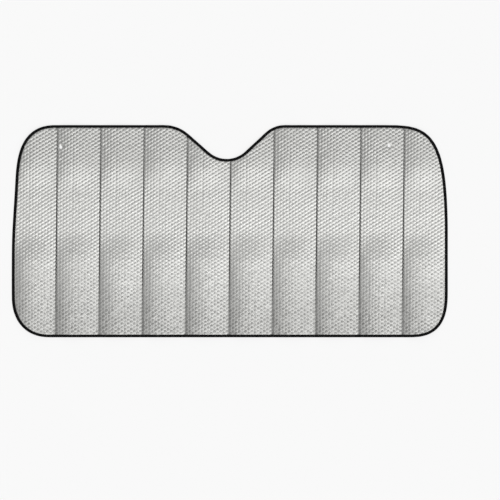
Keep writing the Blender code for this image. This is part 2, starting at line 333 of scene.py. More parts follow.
COLUMN_STEP = np.array([COLUMN_PITCH, ROW_PITCH / 2])
ROW_STEP = np.array([0.0, ROW_PITCH])
FALLING_STEP = COLUMN_STEP - ROW_STEP


def lattice_centres():
    """Centre of each bubble: column i and row j lie at i column steps plus j row steps."""
    columns = int(LENGTH / 2 / COLUMN_PITCH) + 1
    i = np.arange(-columns, columns)
    j = np.arange(-int(HEIGHT / ROW_PITCH), int(HEIGHT / ROW_PITCH) + 1)
    i, j = (grid.ravel() for grid in np.meshgrid(i, j, indexing="ij"))
    centres = np.column_stack([(i + 0.5) * COLUMN_PITCH, j * ROW_PITCH + (i % 2) * ROW_PITCH / 2])
    return centres[np.abs(centres[:, 1]) < HEIGHT / 2]


def slow_waves(u, y, waves):
    """Sum of sine waves, each with its radians a metre by both axes, its phase and strength."""
    return sum(strength * np.sin(by_u * u + by_y * y + phase)
               for by_u, by_y, phase, strength in waves)


def lean_and_warp(points):
    """The lattice as it lies: leaning with the creases, and pulled about by slow waves.

    Sideways it is held at the creases, and comes free over two columns.
    """
    u, y = points[..., 0], points[..., 1]
    x = u + CREASE_LEAN * y / HEIGHT
    hold = smooth_step(crease_distance(x, y) / (2 * COLUMN_PITCH))
    sideways = WARP * slow_waves(u, y, SIDEWAYS_WAVES) * hold
    lengthwise = WARP * slow_waves(u, y, LENGTHWISE_WAVES)
    return np.stack([x + sideways, y + lengthwise], axis=-1)


def rib_strength(y):
    """How far rising rows of bubbles are drawn into ribs: a bell over the upper middle."""
    return np.exp(-((y - RIB_MIDDLE) / RIB_REACH) ** 2)


def slack(y):
    """How loose the film lies: 0 in the upper half, and rising to 1 before the lower edge."""
    return smooth_step((SLACK_START - y) / SLACK_REACH)


def streak_share(column):
    """How far a column stands out: the square of a wave from 0 to 1 over the column numbers."""
    wander = STREAK_WANDER * np.sin(STREAK_WANDER_WAVE * column)
    return STREAK_SHARE * (0.5 + 0.5 * np.sin(STREAK_WAVE * column + wander)) ** 2


def handled_share(y):
    """How much the film is handled: shares near the upper edge and near the lower edge."""
    top = smooth_step((y - HEIGHT / 2 + SCUFF_REACH) / SCUFF_GROWTH)
    bottom = smooth_step((-y - HEIGHT / 2 + LOW_SCUFF_REACH) / LOW_SCUFF_REACH)
    return top, bottom


def across_panel(u):
    """Share of the way from one crease to the next at an upright x."""
    return np.mod(u / CREASE_PITCH, 1.0)


def scuff_and_shade_share(u, y):
    """How worn the film is, and how much painted shade it gets: near the upper edge, and near the lower
    one, most right of a crease.
    """
    top, bottom = handled_share(y)
    near_crease = (1 - across_panel(u)) ** 3
    return TOP_SCUFF_AND_SHADE * top + bottom * (LOW_SCUFF_AND_SHADE + LOW_SCUFF_AND_SHADE_BY_CREASE * near_crease)


def bubble_points(centres):
    """Points of every bubble with their share of its height, and the bubble that each is on.

    In this order: the crown, six shoulders on a ring, the rising, upright and falling saddles
    to three of its neighbours, and two hollows between three bubbles. A worn bubble's
    shoulders are higher and further out. Saddles rise with the ribs, the streaks and the slack.
    """
    turn = np.arctan2(COLUMN_STEP[1], COLUMN_STEP[0])
    turns = np.array([turn, pi / 2, pi - turn, pi + turn, 1.5 * pi, -turn])
    ring = SHOULDER_RADIUS * np.column_stack([np.cos(turns), np.sin(turns)])
    saddles = np.array([COLUMN_STEP, ROW_STEP, FALLING_STEP]) / 2
    hollows = np.array([COLUMN_STEP + ROW_STEP, COLUMN_STEP + FALLING_STEP]) / 3
    offsets = np.vstack([[(0.0, 0.0)], ring, saddles, hollows])
    u, y = centres[:, 0], centres[:, 1]
    worn = np.minimum(scuff_and_shade_share(u, y), 1.0)[:, None]
    rib_gain = RIB_AT_LEFT + RIB_GAIN_ACROSS * across_panel(u)
    shares = np.zeros((len(centres), len(offsets)))
    shares[:, 0] = 1.0
    shares[:, 1:7] = SHOULDER_SHARE + (WORN_SHOULDER_SHARE - SHOULDER_SHARE) * worn
    shares[:, 7] = RIB_SHARE * rib_strength(y) * rib_gain
    shares[:, 8] = streak_share(np.floor(u / COLUMN_PITCH)) * slack(y)
    shares[:, 9] = FALLING_RIB_SHARE * slack(y)
    points = centres[:, None] + offsets
    points[:, 1:7] += WORN_SHOULDER_SPREAD * worn[..., None] * ring
    owner = np.repeat(np.arange(len(centres)), len(offsets))
    return points.reshape(-1, 2), shares.ravel(), owner


def edge_distance(points, stride=4, chunk=12000):
    """Distance of each point to the outline, positive inside.

    It is measured along the inward direction of the nearest step of the outline, of which one
    in a few is enough. Points are taken in chunks, so that the table of gaps stays small.
    """
    edge, inward = EDGE[::stride], INWARD[::stride]
    found = []
    for start in range(0, len(points), chunk):
        part = points[start:start + chunk]
        gap = (part ** 2).sum(axis=1)[:, None] + (edge ** 2).sum(axis=1) - 2 * part @ edge.T
        nearest = gap.argmin(axis=1)
        found.append(((part - edge[nearest]) * inward[nearest]).sum(axis=1))
    return np.concatenate(found)


all_centres = lattice_centres()
print(len(all_centres), "bubbles in the oblong,", len(bubble_points(all_centres[:1])[0]), "points each")

# %% [markdown]
# The suction cup holes are punched through the foil near its top corners. Their places come
# from the openings that the record of the solid model states.

# %% Cup holes
HOLE_RADIUS = 0.0049
HOLE_STEPS = 28


def opening_centre(name):
    """XY of the middle of an opening that the record states."""
    openings = frame["record"]["physics"]["openings"]
    box = next(entry["box_m"] for entry in openings if entry["name"] == name)
    return np.mean(box, axis=0)[:2]


HOLES = np.array([opening_centre("left_cup_hole"), opening_centre("right_cup_hole")])


def hole_distance(points):
    """Distance of each point to the rim of the nearest hole, negative inside it."""
    away = np.linalg.norm(points[:, None] - HOLES, axis=-1)
    return away.min(axis=1) - HOLE_RADIUS


print("holes at", np.round(HOLES * 1000, 1).tolist(), "mm")

# %% [markdown]
# The height of the silver side is worked out for any point: the film lies on the bow, and a
# bubble adds its share of the dome. The crease press squeezes the bubbles flat along a narrow
# line, the tape squeezes those under it, and the hole punch those around it. A roller has left
# a fainter line in each panel, and the domes are a little lower in the flat band.

# %% Heights of the foil
UNDERSIDE = 0.0010
FILM_THICKNESS = 0.0007
DOME_HEIGHT = 0.00125
LOW_DOME_SHARE = 0.85
CREASE_HALF_WIDTH = 0.0025
CREASE_FLAT_HALF_WIDTH = 0.0006
CREASE_SINK = 0.0004
CREASE_THINNING = 0.0003

# The tape presses and lifts the film from the edge up to here, and lets go over the reach
TAPE_PRESS_WIDTH = 0.0078
TAPE_PRESS_REACH = 0.0045
EDGE_LIFT = 0.00035
EDGE_LIFT_WIDTH = 0.004
EDGE_LIFT_REACH = 0.014

# The hole punch presses a narrow ring
PUNCH_PRESS_WIDTH = 0.0002
PUNCH_PRESS_REACH = 0.0014

# The roller line stands this far right of each crease, and fades out at both ends
ROLLER_LINE = 5 * COLUMN_PITCH
ROLLER_LINE_WIDTH = 0.0024
ROLLER_LINE_TOP = 0.290
ROLLER_LINE_BOTTOM = 0.050
ROLLER_LINE_FADE = 0.05
ROLLER_PRESS = 0.75


def roller_press(x, y):
    """Share of a dome left by the roller, which marks each panel beside its fifth column.

    Across the line it presses by a bell, and along it the press fades out at both ends.
    """
    from_crease = across_panel(upright_x(x, y)) * CREASE_PITCH
    near = np.exp(-((from_crease - ROLLER_LINE) / ROLLER_LINE_WIDTH) ** 2)
    span = smooth_step((y - ROLLER_LINE_BOTTOM) / ROLLER_LINE_FADE)
    span *= smooth_step((ROLLER_LINE_TOP - y) / ROLLER_LINE_FADE)
    return 1 - ROLLER_PRESS * near * span


def pressed_share(points):
    """How flat the foil is pressed: 1 on a crease, under the tape and round a hole.

    It falls smoothly to 0 away from them. The share for the creases alone comes second.
    """
    from_crease = crease_distance(points[:, 0], points[:, 1]) - CREASE_FLAT_HALF_WIDTH
    crease = 1 - smooth_step(from_crease / (CREASE_HALF_WIDTH - CREASE_FLAT_HALF_WIDTH))
    edge = 1 - smooth_step((edge_distance(points) - TAPE_PRESS_WIDTH) / TAPE_PRESS_REACH)
    hole = 1 - smooth_step((hole_distance(points) - PUNCH_PRESS_WIDTH) / PUNCH_PRESS_REACH)
    return np.maximum(crease, np.maximum(edge, hole)), crease


def underside_height(points):
    """Lower film: on the bow, pushed down a little by the crease and lifted by the tape."""
    x, y = points[:, 0], points[:, 1]
    crease = 1 - smooth_step(crease_distance(x, y) / CREASE_HALF_WIDTH)
    lift = 1 - smooth_step((edge_distance(points) - EDGE_LIFT_WIDTH) / EDGE_LIFT_REACH)
    return UNDERSIDE + bow(x, y) - CREASE_SINK * crease + EDGE_LIFT * lift


def top_height(points, dome_share):
    """Upper film: the lower one, plus the film's thickness and what is left of each dome."""
    pressed, crease = pressed_share(points)
    x, y = points[:, 0], points[:, 1]
    full = LOW_DOME_SHARE + (1 - LOW_DOME_SHARE) * out_of_flat_band(y)
    dome = DOME_HEIGHT * full * dome_share * (1 - pressed) * roller_press(x, y)
    return underside_height(points) + FILM_THICKNESS - CREASE_THINNING * crease + dome


crown_heights = top_height(all_centres, np.ones(len(all_centres)))
print("a full bubble's crown is up to", round(crown_heights.max() * 1000, 1), "mm over the floor")

# %% [markdown]
# Points that don't lie on a grid need a triangulation. Blender's own Delaunay routine joins
# them, and it is told which lines its triangles must keep: the outline, the holes and the
# creases. The same lines serve the top and the underside, so a wall of quads closes the foil.

# %% Triangles between the points
FOIL_INSET = 0.0010
FOIL_EDGE_STRIDE = 4
CREASE_STEP = ROW_PITCH / 4
CREASE_END_GAP = 0.003
INSIDE_THE_EDGES = 1
MERGE_DISTANCE_MM = 1e-5


def closed_run(count, first=0):
    """Edges that join points in a ring."""
    here = np.arange(count)
    return np.column_stack([here, np.roll(here, -1)]) + first


def rim_loops():
    """Points of the foil's outline and of its holes, one loop each."""
    outline = (EDGE + INWARD * FOIL_INSET)[::FOIL_EDGE_STRIDE]
    turn = np.arange(HOLE_STEPS) * 2 * pi / HOLE_STEPS
    circle = HOLE_RADIUS * np.column_stack([np.cos(turn), np.sin(turn)])
    return [outline] + [hole + circle for hole in HOLES]


def crease_lines():
    """Points along each crease that keep clear of the rim, and the edges between them."""
    y = np.arange(-HEIGHT / 2, HEIGHT / 2, CREASE_STEP)
    points, edges = [], []
    for crease in CREASES:
        line = np.column_stack([crease + CREASE_LEAN * y / HEIGHT + zigzag(y), y])
        line = line[edge_distance(line) > CREASE_END_GAP]
        first = sum(len(part) for part in points)
        here = np.arange(len(line) - 1) + first
        points.append(line)
        edges.append(np.column_stack([here, here + 1]))
    return np.vstack(points), np.vstack(edges)


def triangulate(loops, lines, line_edges, loose):
    """Triangles over loops, lines and loose points, with the holes left open.

    Returns all the points, with the loops' first, and the triangles, counter-clockwise. The
    routine works in millimetres, so that its rounding stays far below the points' spacing.
    """
    edges = []
    first = 0
    for loop in loops:
        edges.append(closed_run(len(loop), first))
        first += len(loop)
    edges.append(line_edges + first)
    points = np.vstack([*loops, lines, loose])
    result = delaunay_2d_cdt(
        (points * 1000).tolist(), np.vstack(edges).tolist(), [], INSIDE_THE_EDGES, MERGE_DISTANCE_MM)
    triangles = np.array(result[2])
    if len(result[0]) != len(points):
        raise ValueError("the triangulation merged or added points")
    middles = points[triangles].mean(axis=1)
    return points, triangles[hole_distance(middles) > 0]


LOOPS = rim_loops()
LINES, LINE_EDGES = crease_lines()
print([len(loop) for loop in LOOPS], "points on the rims,", len(LINES), "on the creases")

# %% [markdown]
# Next come the points of both films. Each bubble gets its own height by a seeded draw, as
# heated film never fills all of them alike, and strays a little from its place. Slack bubbles
# have lost some air, and those near the upper edge are fuller. Points that would crowd a rim
# or a crease are left out.

# %% Points of both films
BUBBLE_SPREAD = 0.10
SHOULDER_SPREAD = 0.05
LARGEST_SHARE = 1.25
SMALLEST_SHARE = -0.1
STRAY = 0.0002
SLACK_LOSS = 0.36
TOP_SWELL = 0.22

# How far bubbles, their points and the underside's points keep from rims and creases
BUBBLE_TO_EDGE = 0.0062
BUBBLE_TO_HOLE = 0.0012
POINT_TO_EDGE = 0.0025
POINT_TO_HOLE = 0.0008
POINT_TO_CREASE = 0.0005
UNDERSIDE_PITCH = 0.0145
UNDERSIDE_TO_EDGE = 0.006
UNDERSIDE_TO_HOLE = 0.004
UNDERSIDE_TO_CREASE = 0.004
draw = np.random.default_rng(11)


def keeps_clear(points, to_edge, to_hole, to_crease):
    """Whether each point keeps its distance from the outline, the holes and the creases."""
    clear = (edge_distance(points) > to_edge) & (hole_distance(points) > to_hole)
    return clear & (crease_distance(points[:, 0], points[:, 1]) > to_crease)


def top_points():
    """Points of the bubbles inside the outline, their shares of a dome, and how many bubbles."""
    lying = lean_and_warp(all_centres)
    inside = (edge_distance(lying) > BUBBLE_TO_EDGE) & (hole_distance(lying) > BUBBLE_TO_HOLE)
    centres = all_centres[inside]
    hold = smooth_step(crease_distance(centres[:, 0], centres[:, 1]) / COLUMN_PITCH)
    stray = draw.standard_normal((len(centres), 2)).clip(-2, 2) * (STRAY * hold)[:, None]
    flat, shares, owner = bubble_points(centres)
    points = lean_and_warp(flat) + stray[owner]
    height = 1 - SLACK_LOSS * slack(centres[:, 1]) + TOP_SWELL * handled_share(centres[:, 1])[0]
    height += BUBBLE_SPREAD * draw.standard_normal(len(centres)).clip(-2, 2)
    shares = shares * height[owner]
    shares += SHOULDER_SPREAD * draw.standard_normal(len(shares)).clip(-3, 3)
    clear = keeps_clear(points, POINT_TO_EDGE, POINT_TO_HOLE, POINT_TO_CREASE)
    return points[clear], shares[clear].clip(SMALLEST_SHARE, LARGEST_SHARE), len(centres)


def underside_points():
    """A plain grid of points for the lower film, clear of the rims and creases."""
    u, y = np.meshgrid(np.arange(-LENGTH / 2, LENGTH / 2, UNDERSIDE_PITCH),
                       np.arange(-HEIGHT / 2, HEIGHT / 2, UNDERSIDE_PITCH), indexing="ij")
    points = np.column_stack([u.ravel(), y.ravel()])
    return points[keeps_clear(points, UNDERSIDE_TO_EDGE, UNDERSIDE_TO_HOLE, UNDERSIDE_TO_CREASE)]


BUBBLES, BUBBLE_SHARES, bubble_count = top_points()
UNDERSIDE_GRID = underside_points()
print(bubble_count, "bubbles,", len(BUBBLES), "points on the top,", len(UNDERSIDE_GRID), "below")

# %% [markdown]
# Now the foil is put together: the top, the underside and a wall round each rim. Three numbers
# are kept at each point for the finish: how far the crease press reaches, which places a rubbed
# line and painted shade in each crease; how scuffed it is by handling, which also places painted
# shade on the bubbles; and how far it belongs to a bubble's crown.

# %% The foil sheet
CROWN_START = 0.8
# How much weaker the rubbed line and painted shade in the creases are near the upper edge
RUB_AND_SHADE_LOSS_AT_TOP = 0.3
SHARP_ANGLE = radians(62)


def mesh_object(name, points, faces):
    """A smooth-shaded object from arrays of points and faces."""
    mesh = bpy.data.meshes.new(name)
    mesh.from_pydata(points.tolist(), [], faces if isinstance(faces, list) else faces.tolist())
    mesh.update()
    mesh.shade_smooth()
    piece = bpy.data.objects.new(name, mesh)
    bpy.context.scene.collection.objects.link(piece)
    return piece


def store_uv(mesh, name, per_point):
    """A UV map whose value at each face corner is that of the corner's point."""
    corners = np.zeros(len(mesh.loops), dtype=int)
    mesh.loops.foreach_get("vertex_index", corners)
    layer = mesh.uv_layers.new(name=name)
    layer.data.foreach_set("uv", per_point[corners].ravel())


def store_value(mesh, name, per_point):
    """A number at each point, for the materials to read."""
    mesh.attributes.new(name, "FLOAT", "POINT").data.foreach_set("value", per_point)


def rim_walls(below):
    """Triangles of the walls between each rim of the top and the same rim of the underside.

    The underside's points follow the top's, so a rim's lower point is the upper one plus below.
    The rings of the holes are turned round, so that their walls look into the holes.
    """
    walls = []
    first = 0
    for number, loop in enumerate(LOOPS):
        ring = closed_run(len(loop), first)
        if number > 0:
            ring = ring[:, ::-1]
        wall = np.column_stack([ring[:, 1], ring[:, 0], ring[:, 0] + below, ring[:, 1] + below])
        walls += [wall[:, [0, 1, 2]], wall[:, [0, 2, 3]]]
        first += len(loop)
    return walls


def mark_foil(mesh, points, shares):
    """Store the three numbers that the finish reads.

    The first is the crease press, weaker near the upper edge, which places a rubbed line and
    painted shade in each crease. The second is the wear by handling, which also places painted
    shade on the bubbles. Crown rises with the point's share of its dome.
    """
    x, y = points[:, 0], points[:, 1]
    rubbed_and_shaded = pressed_share(points[:, :2])[1] * (1 - RUB_AND_SHADE_LOSS_AT_TOP * handled_share(y)[0])
    store_value(mesh, "rubbed_and_shaded", rubbed_and_shaded)
    store_value(mesh, "scuffed_and_shaded", scuff_and_shade_share(upright_x(x, y), y))
    store_value(mesh, "crown", smooth_step(shares / CROWN_START))


def make_foil():
    """The foil: domed top, plain underside, and walls between them round the rims."""
    top, top_faces = triangulate(LOOPS, LINES, LINE_EDGES, BUBBLES)
    low, low_faces = triangulate(LOOPS, LINES, LINE_EDGES, UNDERSIDE_GRID)
    shares = np.zeros(len(top) + len(low))
    shares[len(top) - len(BUBBLES):len(top)] = BUBBLE_SHARES
    points = np.vstack([
        np.column_stack([top, top_height(top, shares[:len(top)])]),
        np.column_stack([low, underside_height(low)])])
    faces = [top_faces, low_faces[:, ::-1] + len(top)] + rim_walls(len(top))
    foil = mesh_object("bubble_foil", points, np.vstack(faces))
    foil.data.set_sharp_from_angle(angle=SHARP_ANGLE)
    mark_foil(foil.data, points, shares)
    return foil


foil = make_foil()
print(len(foil.data.polygons), "triangles in the foil")

# %% [markdown]
# The binding is one woven tape, folded in half over the edge. Sweeping a bevelled curve would
# give it a stiff, even section, so it is worked out as a surface of two parameters: how far
# along the edge, and how far across the tape from one selvedge round the fold to the other.
# The seam pulls the two halves together, and each needle hole pulls a little more.

# %% Section of the folded tape
TAPE_THICKNESS = 0.0006
TAPE_WIDTH_SHOWN = 0.0086
TAPE_MID_HEIGHT = 0.00200
SELVEDGE_ROUNDING = 0.35
FOLD_HALF_HEIGHT = 0.00168
FOLD_DEPTH = 0.0019
SEAM_DISTANCE = 0.0066
SEAM_HALF_HEIGHT = 0.00098
SELVEDGE_FLARE = 0.00016
PUCKER_DEPTH = 0.00022
PUCKER_WIDTH = 0.0012
FOLD_STEPS = 3
LEG_STEPS = 5


def leg_half_height(distance, phase):
    """Half the height between the tape's halves, at a distance from the edge.

    It falls smoothly from the fold to the seam and opens a little to the selvedge. At the seam
    a cosine with one wave a stitch pulls it in at each needle hole.
    """
    closing = smooth_step((distance - FOLD_DEPTH) / (SEAM_DISTANCE - FOLD_DEPTH))
    height = FOLD_HALF_HEIGHT + (SEAM_HALF_HEIGHT - FOLD_HALF_HEIGHT) * closing
    beyond = np.clip((distance - SEAM_DISTANCE) / (TAPE_WIDTH_SHOWN - SEAM_DISTANCE), 0, 1)
    pull = 0.5 + 0.5 * np.cos(2 * pi * phase)
    near = np.exp(-((distance - SEAM_DISTANCE) / PUCKER_WIDTH) ** 2)
    return height + SELVEDGE_FLARE * beyond ** 2 - PUCKER_DEPTH * near * pull


def tape_middle(phase):
    """Middle line of the folded tape, from the lower selvedge round the fold to the upper one.

    The fold is half an ellipse, and each leg runs in from it. Returns distance from the edge
    and height over the middle, one row for each phase of the stitch.
    """
    turn = np.linspace(0, pi / 2, FOLD_STEPS + 1)[:-1]
    fold = FOLD_DEPTH * (1 - np.cos(turn)) + TAPE_THICKNESS / 2
    leg = np.linspace(FOLD_DEPTH, TAPE_WIDTH_SHOWN, LEG_STEPS) + TAPE_THICKNESS / 2
    leg[-1] = TAPE_WIDTH_SHOWN
    distance = np.concatenate([fold, leg])
    rise = np.concatenate([np.sin(turn), np.ones(LEG_STEPS)])
    height = rise * leg_half_height(distance, phase[:, None])
    distances = np.broadcast_to(distance, height.shape)
    middle = np.stack([distances, height], axis=-1)
    lower = middle[:, :0:-1] * (1, -1)
    return np.concatenate([lower, middle], axis=1)


def tape_section(phase):
    """Closed section of the tape: its middle line set out to both sides by half its thickness.

    One more point at each selvedge makes it round instead of square.
    """
    middle = tape_middle(phase)
    run = np.gradient(middle, axis=1)
    run /= np.linalg.norm(run, axis=-1)[..., None]
    side = np.stack([-run[..., 1], run[..., 0]], axis=-1) * TAPE_THICKNESS / 2
    end = run[:, -1:] * TAPE_THICKNESS * SELVEDGE_ROUNDING
    start = -run[:, :1] * TAPE_THICKNESS * SELVEDGE_ROUNDING
    outer, inner = middle + side, middle - side
    return np.concatenate([
        outer, middle[:, -1:] + end, inner[:, ::-1], middle[:, :1] + start], axis=1)


sample = tape_section(np.zeros(1))
print(sample.shape[1], "points round the tape's section")

# %% [markdown]
# The section is carried round the outline. Each station takes its own phase of the stitch, and
# the tape's own UV map counts metres along and across it, so that the weave keeps its size. On
# the short sides the tape is sewn a little further in, as the photograph shows it wider there.

# %% The binding tape
SIDE_STRETCH = 0.12


def ring_faces(stations, around):
    """Quads between neighbouring stations of a closed section, joined into a ring."""
    index = np.arange(stations * around).reshape(stations, around)
    ahead = np.roll(index, -1, axis=0)
    return np.stack([index, ahead, np.roll(ahead, -1, axis=1), np.roll(index, -1, axis=1)],
                    axis=-1).reshape(-1, 4)


def side_stretch(inward):
    """How much wider the tape is sewn: 1 on the long edges, more on the short ones."""
    return 1 + SIDE_STRETCH * np.abs(inward[..., 0])


def place_on_edge(edge, inward, distance, height):
    """Points at a distance in from the edge and a height over the tape's middle."""
    distance = distance * side_stretch(inward)[:, None]
    flat = edge[:, None] + inward[:, None] * distance[..., None]
    lift = bow(flat[..., 0], flat[..., 1])
    return np.concatenate([flat, (TAPE_MID_HEIGHT + lift + height)[..., None]], axis=-1)


def make_tape():
    """The tape: its section at every step of the outline, as one closed skin."""
    phase = np.arange(len(EDGE)) / STEPS_PER_STITCH
    section = tape_section(phase)
    points = place_on_edge(EDGE, INWARD, section[..., 0], section[..., 1])
    stations, around = points.shape[:2]
    tape = mesh_object("binding_tape", points.reshape(-1, 3), ring_faces(stations, around))
    width = np.linalg.norm(np.diff(section[0], axis=0), axis=1)
    across = np.concatenate([[0], np.cumsum(width)])
    along = np.arange(stations) * EDGE_LENGTH / stations
    uv = np.stack(np.meshgrid(along, across, indexing="ij"), axis=-1).reshape(-1, 2)
    store_uv(tape.data, "tape", uv)
    return tape


tape = make_tape()
print(len(tape.data.polygons), "quads in the tape,", round(EDGE_LENGTH, 2), "m of it")

# %% [markdown]
# Black thread locks the tape down, one row of stitches on each side. A texture could draw them,
# but the seam is where a hand would feel the sewing, so each stitch is a short bowed thread of
# some two dozen faces that dips into its needle holes at both ends.

# %% Stitches
THREAD_RADIUS = 0.00021
STITCH_SECTIONS = 6
STITCH_SIDES = 5
STITCH_SHARE = 0.86
STITCH_SLANT = 0.00018
STITCH_FLATNESS = 0.6
STITCH_RISE = 1.1
STITCH_SINK = 0.75
THREAD_END_SHARE = 0.55


def along_edge(values, place):
    """Values given at each step of the outline, read between the steps."""
    low = np.floor(place).astype(int)
    part = (place - low)[..., None]
    return values[low % len(values)] * (1 - part) + values[(low + 1) % len(values)] * part


def make_stitches(side):
    """One row of stitches on the upper (1) or lower (-1) side of the tape.

    Each is a tube whose radius shrinks to its ends. Its middle line is a flat arch, which is
    half a sine wave to a power below 1, and it starts and ends below the tape's surface.
    """
    share = np.linspace(0, 1, STITCH_SECTIONS)
    phase = 0.5 + (share - 0.5) * STITCH_SHARE
    place = (np.arange(STITCHES)[:, None] + phase) * STEPS_PER_STITCH
    edge, inward = along_edge(EDGE, place), along_edge(INWARD, place)
    arch = np.sin(pi * share) ** STITCH_FLATNESS
    radius = THREAD_RADIUS * (THREAD_END_SHARE + (1 - THREAD_END_SHARE) * arch)
    distance = SEAM_DISTANCE + TAPE_THICKNESS / 2 + STITCH_SLANT * (share - 0.5) * 2
    surface = leg_half_height(distance, phase) + TAPE_THICKNESS / 2
    height = side * (surface + THREAD_RADIUS * (STITCH_RISE * arch - STITCH_SINK))
    middle = edge + inward * (distance * side_stretch(inward))[..., None]
    lift = TAPE_MID_HEIGHT + bow(middle[..., 0], middle[..., 1]) + height
    turn = np.arange(STITCH_SIDES) * 2 * pi / STITCH_SIDES
    out = (radius[:, None] * np.cos(turn))[None, ..., None] * inward[:, :, None]
    rise = radius[:, None] * np.sin(turn)
    flat = middle[:, :, None] + out
    high = lift[..., None] + rise
    return np.concatenate([flat, high[..., None]], axis=-1)


def stitch_faces(count):
    """Faces of many stitches: the tube's quads, and one end cap at each end."""
    index = np.arange(STITCH_SECTIONS * STITCH_SIDES).reshape(STITCH_SECTIONS, STITCH_SIDES)
    ahead, after = index[1:], index[:-1]
    quads = np.stack([after, np.roll(after, -1, axis=1), np.roll(ahead, -1, axis=1), ahead],
                     axis=-1).reshape(-1, 4)
    ends = np.stack([index[0, ::-1], index[-1]])
    first = (np.arange(count) * index.size)[:, None, None]
    all_quads = (quads + first).reshape(-1, 4).tolist()
    all_ends = (ends + first).reshape(-1, STITCH_SIDES).tolist()
    return all_quads + all_ends


rows = np.concatenate([make_stitches(1), make_stitches(-1)])
thread = mesh_object("binding_thread", rows.reshape(-1, 3), stitch_faces(len(rows)))
print(len(rows), "stitches,", len(thread.data.polygons), "faces")

# %% [markdown]
# The finishes are built from nodes. A small helper adds a node, sets its choices and fills its
# inputs, either with a value or with another node's output, so that each material below reads
# as a list of steps. The other helpers use it for what comes back in every material: a sum, a
# group, a mix of two colours, and the wires into the shader.

# %% Helpers for nodes
def add(tree, kind, inputs=None, **choices):
    """A new node with its choices set and its inputs filled with values or outputs."""
    made = tree.nodes.new(kind)
    for name, value in choices.items():
        setattr(made, name, value)
    for key, value in (inputs or {}).items():
        if isinstance(value, bpy.types.NodeSocket):
            tree.links.new(value, made.inputs[key])
        else:
            made.inputs[key].default_value = value
    return made


def maths(tree, operation, *values):
    """The output of a Math node."""
    made = add(tree, "ShaderNodeMath", dict(enumerate(values)), operation=operation)
    return made.outputs[0]


def new_group(name, inputs, outputs):
    """An empty shader node group with named inputs and outputs."""
    tree = bpy.data.node_groups.new(name, "ShaderNodeTree")
    for title, kind, value in inputs:
        socket = tree.interface.new_socket(title, in_out="INPUT", socket_type=kind)
        if value is not None:
            socket.default_value = value
    for title, kind in outputs:
        tree.interface.new_socket(title, in_out="OUTPUT", socket_type=kind)
    return tree, tree.nodes.new("NodeGroupInput").outputs, tree.nodes.new("NodeGroupOutput").inputs


def use_group(tree, group, inputs):
    """The outputs of a node that places a group in a material with its own values."""
    return add(tree, "ShaderNodeGroup", inputs, node_tree=group).outputs


def new_material(name):
    """A material with an empty tree but for its Principled BSDF, and that shader."""
    material = bpy.data.materials.new(name)
    material.use_nodes = True
    return material, material.node_tree, material.node_tree.nodes["Principled BSDF"]


def mix_colours(tree, share, first, second):
    """The output of a Mix node that moves the first colour towards the second by a share."""
    made = add(tree, "ShaderNodeMix", {0: share, 6: first, 7: second}, data_type="RGBA")
    return made.outputs[2]


def wire_finish(tree, surface, dusty, relief, **bump):
    """Lead a dusty colour and roughness into the shader, and a relief's bumps into its normal."""
    bumpy = add(tree, "ShaderNodeBump", {**bump, "Height": relief})
    tree.links.new(dusty["Colour"], surface.inputs["Base Color"])
    tree.links.new(dusty["Roughness"], surface.inputs["Roughness"])
    tree.links.new(bumpy.outputs["Normal"], surface.inputs["Normal"])


print(len(bpy.data.node_groups), "node groups so far")

# %% [markdown]
# Dust settles on everything that lies about in a car. It is one node group, used by all the
# finishes: it makes a cloudy mask at a chosen scale, and by that mask it moves the colour
# towards dust grey and raises the roughness.

# %% Dust group
DUST_COLOUR = (0.36, 0.345, 0.32, 1)
DUST_ROUGHNESS = 0.35


def make_dust_group():
    """Dust: colour and roughness moved by a soft noise, times the amount."""
    tree, given, result = new_group(
        "settled dust",
        [("Vector", "NodeSocketVector", None), ("Colour", "NodeSocketColor", (0.5, 0.5, 0.5, 1)),
         ("Roughness", "NodeSocketFloat", 0.5), ("Scale", "NodeSocketFloat", 12.0),
         ("Amount", "NodeSocketFloat", 0.2)],
        [("Colour", "NodeSocketColor"), ("Roughness", "NodeSocketFloat")])
    cloud = add(tree, "ShaderNodeTexNoise", {
        "Vector": given["Vector"], "Scale": given["Scale"], "Detail": 5.0, "Roughness": 0.62})
    patchy = add(tree, "ShaderNodeMapRange", {
        "Value": cloud.outputs["Fac"], "From Min": 0.38, "From Max": 0.72})
    mask = maths(tree, "MULTIPLY", patchy.outputs[0], given["Amount"])
    rougher = maths(tree, "MULTIPLY", mask, DUST_ROUGHNESS)
    tree.links.new(mix_colours(tree, mask, given["Colour"], DUST_COLOUR), result["Colour"])
    tree.links.new(maths(tree, "ADD", given["Roughness"], rougher), result["Roughness"])
    return tree


DUST = make_dust_group()
print("group", DUST.name)

# %% [markdown]
# The silver film is a thin layer of aluminium under clear plastic: metal, but satin, and never
# quite even. It is a pale neutral grey whose gloss changes in slow clouds, with fine crinkles
# all over. Two things darken it, and both follow the numbers stored with the foil: painted shade
# on the crowns of scuffed bubbles, and a black line in each crease, which is partly rubbed film
# and partly painted crease shade, and fainter where the film is worn.

# %% Silver film
FILM_COLOUR = (0.585, 0.586, 0.570, 1)
PAINTED_SHADE_COLOUR = (0.27, 0.27, 0.262, 1)
# A black line in each crease, partly the film rubbed there and partly painted crease shade
CREASE_LINE_AND_SHADE_COLOUR = (0.015, 0.015, 0.0145, 1)
# Painted shade on the bubbles: its share between the crowns, on the crowns, and where unscuffed
SHADE_BETWEEN_CROWNS = 0.18
SHADE_ON_CROWNS = 0.95
SHADE_WHERE_UNSCUFFED = 0.15
SCUFFED_ROUGHNESS = 0.08


